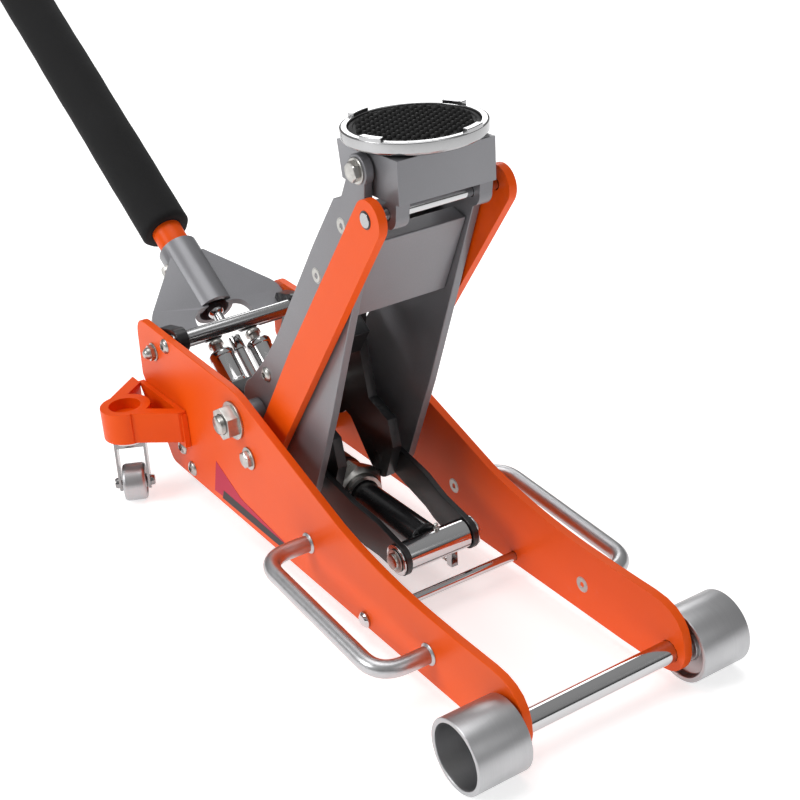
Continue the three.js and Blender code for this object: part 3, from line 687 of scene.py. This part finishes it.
# lift arm pivot, links and saddle
def addPivotHardware():
    pivotPoint = jointLine("lift")[0]
    centre = np.array([pivotPoint[0], 0, pivotPoint[2]])
    thread = [(9.2 + 0.5 * (i % 2), 101 + i * 0.55) for i in range(9)]
    shaft = [(0, -106), (8.2, -106), (9.4, -104.6)] + [(r, -a) for r, a in reversed(thread)]
    shaft += [(9.9, -100), (9.9, 100)] + thread + [(9.4, 104.6), (8.2, 106), (0, 106)]
    dress(turned("pivot_shaft", shaft, centre, yAxis, zincSteel, 48, crease=60), "frame",
          slotOf["arm_pivot_shaft"], "arm_pivot_shaft")
    for label, side in sides.items():
        out = np.array([0, float(side), 0])
        node = f"arm_pivot_bush_{label}"
        dress(turned(f"pivot_bush_{label}", ringProfile(10.2, 14, 57.5, 78.5), centre, out, greyPaint), "frame",
              slotOf[node], node)
        washer = ringProfile(10.2, 19.5, 87, 89.4, 0.5)
        dress(turned(f"pivot_washer_{label}", washer, centre, out, zincSteel), "frame", "zinc_plated_steel")

        low = jointLine(f"link_{label}_swing")[0]
        lowCentre = np.array([low[0], 0, low[2]])
        bolt = softened([(0, 58.3), (6, 58.3), (6, 67.4), (9.5, 67.4), (9.5, 78.7), (6, 78.7), (6, 87.2),
                         (11.6, 87.2), (11.6, 88.6), (8.4, 88.7), (8.0, 88.8, 1), (8.0, 93, 1), (6.6, 94.4),
                         (0, 94.4)], 0.3, 2)
        node = f"link_bolt_{label}"
        dress(turned(f"link_pivot_{label}", bolt, lowCentre, out, zincSteel, 48), "frame", slotOf[node], node)

        tipPoint = jointLine("saddle_level")[0]
        tipCentre = np.array([tipPoint[0], 0, tipPoint[2]])
        node = f"saddle_bolt_{label}"
        head = [(row[0], row[1] + 57.2, *row[2:]) for row in hexHead(7.6, 5.0, 11)]
        dress(turned(f"saddle_pivot_{label}", head, tipCentre, out, zincSteel, 48, 0.2), "lift_arm",
              slotOf[node], node)


def addLinkPin():
    centre = centreOf("link_pin")
    half = 67.4
    dress(turned("link_rod", softened(rodProfile(5, -half, half), 0.4), centre, yAxis, brightSteel, 40),
          "saddle_bracket", slotOf["link_pin"], "link_pin")
    for label, side in sides.items():
        out = np.array([0, float(side), 0])
        cap = [(0, 67.0), (6.4, 67.0), (6.4, 67.9), (6.1, 68.2), (0, 68.2)]
        dress(turned(f"link_pin_cap_{label}", cap, centre, out, satinSteel, 40), "saddle_bracket",
              "polished_steel")
        seat = ringProfile(6.5, 7.7, 67.0, 67.4, 0.1)
        dress(turned(f"link_pin_seat_{label}", seat, centre, out, blackPaint, 40), "saddle_bracket",
              "black_steel")


saddleSizes = {"rim": 53.6, "pad": 53.2, "lugs": 4, "lugTurn": 0.35, "lugHalf": 0.18, "lugRise": 2.8,
               "nubGap": 7.4, "nub": 2.6, "nubHeight": 3.0, "nubReach": 47}


def addSaddleLugs(centre, outer, top):
    # a rectangle from the rim to the outer radius, carried round a short arc, whose ends close on its middle
    sizes = saddleSizes
    inner = sizes["rim"] + 0.2
    section = np.array([[inner, top - 3], [outer - 0.2, top - 3], [outer - 0.2, top + sizes["lugRise"]],
                        [inner, top + sizes["lugRise"]]])
    rows = np.stack([np.broadcast_to(section.mean(axis=0), section.shape)]
                    + [section] * 9 + [np.broadcast_to(section.mean(axis=0), section.shape)])
    arc = np.linspace(-sizes["lugHalf"], sizes["lugHalf"], 9)
    arc = np.concatenate([arc[:1], arc, arc[-1:]])
    middle = sizes["lugTurn"] + np.arange(sizes["lugs"]) * 2 * math.pi / sizes["lugs"]
    angle = (middle[:, None] + arc[None, :])[:, :, None]
    radius = rows[None, :, :, 0]
    height = np.broadcast_to(rows[None, :, :, 1], (sizes["lugs"], len(arc), 4))
    points = np.stack([centre[0] + radius * np.cos(angle) * mm, radius * np.sin(angle) * mm, height * mm],
                      axis=-1).reshape(-1, 3)
    oneFaces = gridFaces(len(arc), 4)
    faces = (np.arange(sizes["lugs"])[:, None, None] * len(arc) * 4 + oneFaces[None]).reshape(-1, 4)
    lugs = addObject("saddle_lugs", points, faces, satinSteel)
    breakEdges(lugs, 0.7)
    dress(lugs, "saddle", slotOf["saddle_ring"])


def addSaddleNubs(centre, floor):
    # nubs on a hexagonal grid inside the rim, each a small blunt cone
    sizes = saddleSizes
    nub, tall = sizes["nub"], sizes["nubHeight"]
    column, row = np.meshgrid(np.arange(-9, 10), np.arange(-9, 10))
    spotX = (column + 0.5 * (row % 2)) * sizes["nubGap"]
    spotY = row * sizes["nubGap"] * math.sqrt(3) / 2
    spots = np.stack([spotX.ravel(), spotY.ravel()], axis=1)
    spots = spots[np.hypot(spots[:, 0], spots[:, 1]) < sizes["nubReach"]]
    cone = [(0, -0.8), (nub, -0.8), (nub * 0.9, tall * 0.3), (nub * 0.6, tall * 0.9), (nub * 0.4, tall),
            (0, tall * 1.02)]
    one = turnedPoints(cone, np.zeros(3), zAxis, 10)
    shift = np.stack([centre[0] + spots[:, 0] * mm, spots[:, 1] * mm, np.full(len(spots), floor * mm)], axis=1)
    points = (shift[:, None, :] + one[None, :, :]).reshape(-1, 3)
    faces = (np.arange(len(spots))[:, None, None] * len(one) + gridFaces(len(cone), 10)[None]).reshape(-1, 4)
    dress(addObject("saddle_nubs", points, faces, rubberBlack, crease=50), "saddle", slotOf["saddle_pad"])


def addSaddle():
    centre = jointLine("saddle_swivel")[0]
    low, high = corners("saddle_ring")
    top = high[2] / mm
    radius = (high[0] - low[0]) / 2 / mm
    base = top - 13
    rim, pad = saddleSizes["rim"], saddleSizes["pad"]
    profile = softened([
        (0, base - 18), (10, base - 18), (10, base), (radius - 7, base), (radius - 1.5, base + 2.5),
        (radius, base + 4.5), (radius, top - 0.6), (radius - 1.4, top), (rim + 0.6, top), (rim, top - 0.6),
        (rim, base + 4), (0, base + 4)], 0.6)
    axisPoint = np.array([centre[0], 0, 0])
    dress(turned("saddle_dish", profile, axisPoint, zAxis, satinSteel, 144), "saddle",
          slotOf["saddle_ring"], "saddle_ring")
    addSaddleLugs(centre, radius, top)

    padTop = top - 1.4
    disc = softened([(0, base + 4.2), (pad, base + 4.2), (pad, padTop - 0.4), (pad - 3.4, padTop),
                     (pad - 4, padTop - 0.9), (pad - 4.8, padTop - 0.9), (0, padTop - 0.7)], 0.4)
    dress(turned("saddle_cushion", disc, axisPoint, zAxis, rubberBlack, 96), "saddle",
          slotOf["saddle_pad"], "saddle_pad")
    addSaddleNubs(centre, padTop - 0.7)


addPivotHardware()
addLinkPin()
addSaddle()
print("arm pivot, links and saddle ready")


# hydraulic unit
def addRamParts():
    centre = centreOf("ram_cylinder")
    onAxis = np.array([0, 0, centre[2]])
    low, high = corners("ram_cylinder")
    back, front = low[0] / mm, high[0] / mm
    barrel = softened([(0, back), (23, back), (25, back + 2), (25, front - 14), (23.8, front - 12),
                       (23.8, front - 2), (22.5, front), (15.4, front), (15.4, back + 4), (0, back + 4)], 0.8)
    dress(turned("ram_barrel", barrel, onAxis, xAxis, blackPaint, 80), "frame", slotOf["ram_cylinder"],
          "ram_cylinder")
    low, high = corners("gland_nut")
    back, front = low[0] / mm, high[0] / mm
    gland = [(15.4, back), (24.6, back), (25.2, back + 1, 1), (25.2, front - 9, 1), (24.4, front - 8),
             (21.5, front - 6.5), (21.5, front - 2), (20.2, front), (16.6, front), (15.4, front - 1.5),
             (15.4, back)]
    dress(turned("gland_hexagon", gland, onAxis, xAxis, zincSteel, 96), "frame", slotOf["gland_nut"],
          "gland_nut")
    low, high = corners("ram_rod")
    rod = softened(rodProfile(15, low[0] / mm, high[0] / mm, 1.2), 0.5)
    dress(turned("ram_bar", rod, onAxis, xAxis, oiledSteel, 72), "ram", slotOf["ram_rod"], "ram_rod")

    cross = centreOf("crosshead_pin")
    half = 47.5
    pin = softened([(0, -half), (6.6, -half), (8, -half + 1.2), (8, half - 1.2), (6.6, half), (0, half)], 0.4)
    dress(turned("crosshead_bar", pin, cross, yAxis, zincSteel, 56), "ram", slotOf["crosshead_pin"],
          "crosshead_pin")
    for label, side in sides.items():
        out = np.array([0, float(side), 0])
        washer = ringProfile(8.1, 15, 40.2, 41.8, 0.3)
        dress(turned(f"crosshead_washer_{label}", washer, cross, out, brightSteel, 56), "ram", "polished_steel")
        clip = ringProfile(7.6, 11.2, 42.4, 43.8, 0.2)
        dress(turned(f"crosshead_clip_{label}", clip, cross, out, zincSteel, 56), "ram", "zinc_plated_steel")


def addGreaseNipple():
    nipple = [(0, -1), (3, -1), (3, 1.6), (1.6, 2.4), (1.6, 4.2), (2.2, 5), (1.2, 6.2), (0, 6.4)]
    dress(turned("grease_nipple", nipple, place(-229, 5, 74), zAxis, zincSteel, 32), "ram", "zinc_plated_steel")


springSizes = {"coil": 4.2, "wire": 0.75, "turns": 62, "y": 20.5, "z": 35}


def addSpring():
    # a helix about a line along X: point = (x, y + coil * cos t, z + coil * sin t)
    sizes = springSizes
    low, high = corners("return_spring")
    steps = sizes["turns"] * 14
    t = np.linspace(0, 1, steps)
    angle = t * sizes["turns"] * 2 * math.pi
    x = low[0] + 0.001 + (high[0] - low[0] - 0.002) * t
    path = np.stack([x, (sizes["y"] + sizes["coil"] * np.cos(angle)) * mm,
                     (sizes["z"] + sizes["coil"] * np.sin(angle)) * mm], axis=1)
    piece = swept("return_coil", path, sizes["wire"] * mm, zincSteel, 8)
    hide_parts("return_spring")
    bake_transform(piece)


def addPumps():
    origin, up = jointLine("release_turn")
    for label, side in sides.items():
        base = origin + np.array([0, side * 22.5 * mm, 0])
        barrel = softened([(0, -45.7), (14, -45.7), (14, -38), (13.2, -37), (13.2, -8), (14, -7), (14, -2),
                           (12.6, 0), (9.4, 0), (9.4, -7), (6.4, -7), (6.4, -42), (0, -42)], 0.5)
        node = f"pump_cylinder_{label}"
        dress(turned(f"pump_barrel_{label}", barrel, base, up, brightSteel), "frame", slotOf[node], node)
        plunger = softened([(0, -26), (6, -26), (6, 8), (8.5, 8), (8.5, 12), (7, 14), (0, 14)], 0.5)
        node = f"pump_plunger_{label}"
        dress(turned(f"plunger_{label}", plunger, base, up, zincSteel), f"plunger_{label}", slotOf[node], node)
    rod = softened([(0, -45.7), (5, -45.7), (5, -4), (7, -4), (7, 12), (5.5, 13), (0, 13)], 0.5)
    dress(turned("release_spindle", rod, origin, up, brightSteel, 48), "release_rod", slotOf["release_rod"],
          "release_rod")
    for label, side in sides.items():
        node = f"pump_roller_{label}"
        low, high = corners(node)
        centre = centreOf(node)
        half = (high[1] - low[1]) / 2 / mm
        roll = softened([(0, -half), (3.6, -half), (3.6, -half + 0.8), (8, -half + 0.8), (9, -half + 2),
                         (9, half - 2), (8, half - 0.8), (3.6, half - 0.8), (3.6, half), (0, half)], 0.4)
        dress(turned(f"cam_roller_{label}", roll, centre, yAxis, oiledSteel, 48),
              bodyOf[node], slotOf[node], node)


addRamParts()
addGreaseNipple()
addSpring()
addPumps()
print("hydraulic unit ready")


# handle
handleSizes = {"tube": 17, "foam": 28.3, "grip": 20.5}


def addHandle():
    origin, up = jointLine("handle_twist")
    radius = handleSizes["tube"]
    tube = softened([(0, -40), (radius - 1.4, -40), (radius, -38.6), (radius, 980), (radius - 1.4, 982),
                     (0, 982)], 0.6)
    dress(turned("handle_pole", tube, origin, up, orangePaint, 72), "handle", slotOf["handle_tube"],
          "handle_tube")
    coupler = softened([(0, -74), (5.5, -74), (5.5, -62), (8, -60), (9, -58), (9, -40.3), (0, -40.3)], 0.6)
    dress(turned("twist_coupler", coupler, origin, up, brightSteel, 48), "handle", slotOf["release_coupler"],
          "release_coupler")

    # radius = sleeve radius, with a slow wave along it and soft rolled ends
    along = np.linspace(64, 540, 120)
    ends = np.clip(np.minimum(along - 64, 540 - along) / 4.0, 0, 1)
    radius = handleSizes["foam"] - 3.0 * (1 - np.sqrt(1 - (1 - ends) ** 2))
    radius += 0.18 * np.sin(along * 0.045) + 0.1 * np.sin(along * 0.13 + 1)
    profile = [(17.4, 64.5)] + list(zip(radius, along)) + [(17.4, 539.5), (17.4, 64.5)]
    foam = turned("foam_grip_sleeve", profile, origin, up, foamBlack, 96, crease=70)
    dress(foam, "handle", slotOf["foam_sleeve"], "foam_sleeve")

    ribs = [(handleSizes["grip"] - 0.9 * (0.5 + 0.5 * math.cos(a * 0.75)) ** 6, a)
            for a in np.arange(853, 962, 0.8)]
    grip = [(17.4, 850), (20, 850), (21, 851.5)] + ribs + [(21, 964), (21, 972), (19.5, 980), (15, 984.6),
                                                        (0, 985), (0, 983), (17.4, 983), (17.4, 850)]
    dress(turned("rubber_grip", grip, origin, up, rubberBlack, 64, crease=50), "handle", slotOf["hand_grip"],
          "hand_grip")
    lockBolt = hexHead(5, 6, 7)
    out = np.array([0, -1.0, 0])
    spot = origin + up * 12 * mm + out * 22.3 * mm
    dress(turned("socket_lock_bolt", lockBolt, spot, out, zincSteel, 48), "handle_socket", "zinc_plated_steel")


addHandle()
print("handle ready")


# label on the right plate: plain shapes, no lettering
labelSizes = {"face": -87.0, "proud": 0.25}


def addLabel():
    outerFace = labelSizes["face"]
    front = outerFace - labelSizes["proud"]
    wedge = [(-489, 70), (-501, 31), (-355, 33), (-355, 36), (-440, 47)]
    stripe = [(-479, 40), (-484, 29), (-353, 27), (-351, 35)]
    dress(slabObject("label_wedge", wedge, front, outerFace, redFilm), "frame", "orange_powder_coat")
    dress(slabObject("label_stripe", stripe, front - 0.1, outerFace, darkFilm), "frame", "orange_powder_coat")


addLabel()
print("label ready")


# floor, light and camera
def addStage():
    shader = Shader("pale_floor")
    grain = shader.noise(3, 3)
    shader.finish(Base_Color=shader.mix(grain, (0.86, 0.86, 0.86), (0.88, 0.88, 0.88)), Roughness=0.6,
                  Emission_Color=(1, 1, 1), Emission_Strength=0.55)
    size = 14.0
    points = np.array([[-size, -size, 0], [size, -size, 0], [size, size, 0], [-size, size, 0]])
    floor = addObject("studio_floor", points, [[0, 1, 2, 3]], shader.material, turnOut=False)


def addLamp(name, spot, target, size, power):
    light = bpy.data.lights.new(name, "AREA")
    light.shape = "DISK"
    light.size = size
    light.energy = power
    lamp = bpy.data.objects.new(name, light)
    lamp.location = spot
    lamp.rotation_euler = (Vector(target) - Vector(spot)).to_track_quat("-Z", "Y").to_euler()
    bpy.context.scene.collection.objects.link(lamp)


def addLight():
    target = (0.35, 0, 0.2)
    addLamp("key", (-0.3, -3.0, 2.0), target, 1.8, 50)
    addLamp("fill", (3.0, 0.6, 1.6), target, 1.6, 5)
    addLamp("top", (0.0, 0.0, 3.2), target, 2.6, 38)
    addLamp("rim", (-2.2, 1.8, 1.8), target, 1.4, 16)

    # pale above, darker towards the horizon, so that bright metal has something to show
    world = bpy.data.worlds.new("studio")
    bpy.context.scene.world = world
    world.use_nodes = True
    tree = world.node_tree
    tree.nodes.clear()
    coordinates = tree.nodes.new("ShaderNodeTexCoord")
    split = tree.nodes.new("ShaderNodeSeparateXYZ")
    ramp = tree.nodes.new("ShaderNodeValToRGB")
    ramp.color_ramp.elements[0].position = 0.0
    ramp.color_ramp.elements[0].color = (0.85, 0.85, 0.85, 1)
    ramp.color_ramp.elements[1].position = 1.0
    ramp.color_ramp.elements[1].color = (1, 1, 1, 1)
    for position, tone in ((0.46, 0.6), (0.5, 0.16), (0.56, 0.12), (0.66, 0.75)):
        ramp.color_ramp.elements.new(position).color = (tone, tone, tone, 1)
    shift = tree.nodes.new("ShaderNodeMapRange")
    shift.inputs["From Min"].default_value = -1
    background = tree.nodes.new("ShaderNodeBackground")
    background.inputs["Strength"].default_value = 0.42
    output = tree.nodes.new("ShaderNodeOutputWorld")
    tree.links.new(coordinates.outputs["Generated"], split.inputs[0])
    tree.links.new(split.outputs["Z"], shift.inputs["Value"])
    tree.links.new(shift.outputs[0], ramp.inputs[0])
    tree.links.new(ramp.outputs[0], background.inputs["Color"])
    tree.links.new(background.outputs[0], output.inputs["Surface"])


def addCamera():
    data = bpy.data.cameras.new("camera")
    data.lens = 68.79
    data.sensor_width = 36
    data.shift_x = 0.0085
    camera = bpy.data.objects.new("camera", data)
    rightWay, upWay, backWay = (0.5509, 0.8317, -0.0685), (-0.3327, 0.2941, 0.8960), (0.7653, -0.4708, 0.4387)
    pose = Matrix((rightWay, upWay, backWay)).transposed().to_4x4()
    pose.translation = Vector(place(779.2, -650.8, 795.1))
    camera.matrix_world = pose
    bpy.context.scene.collection.objects.link(camera)
    bpy.context.scene.camera = camera


addStage()
addLight()
addCamera()
bpy.context.scene.view_settings.view_transform = "Standard"
print("stage ready")
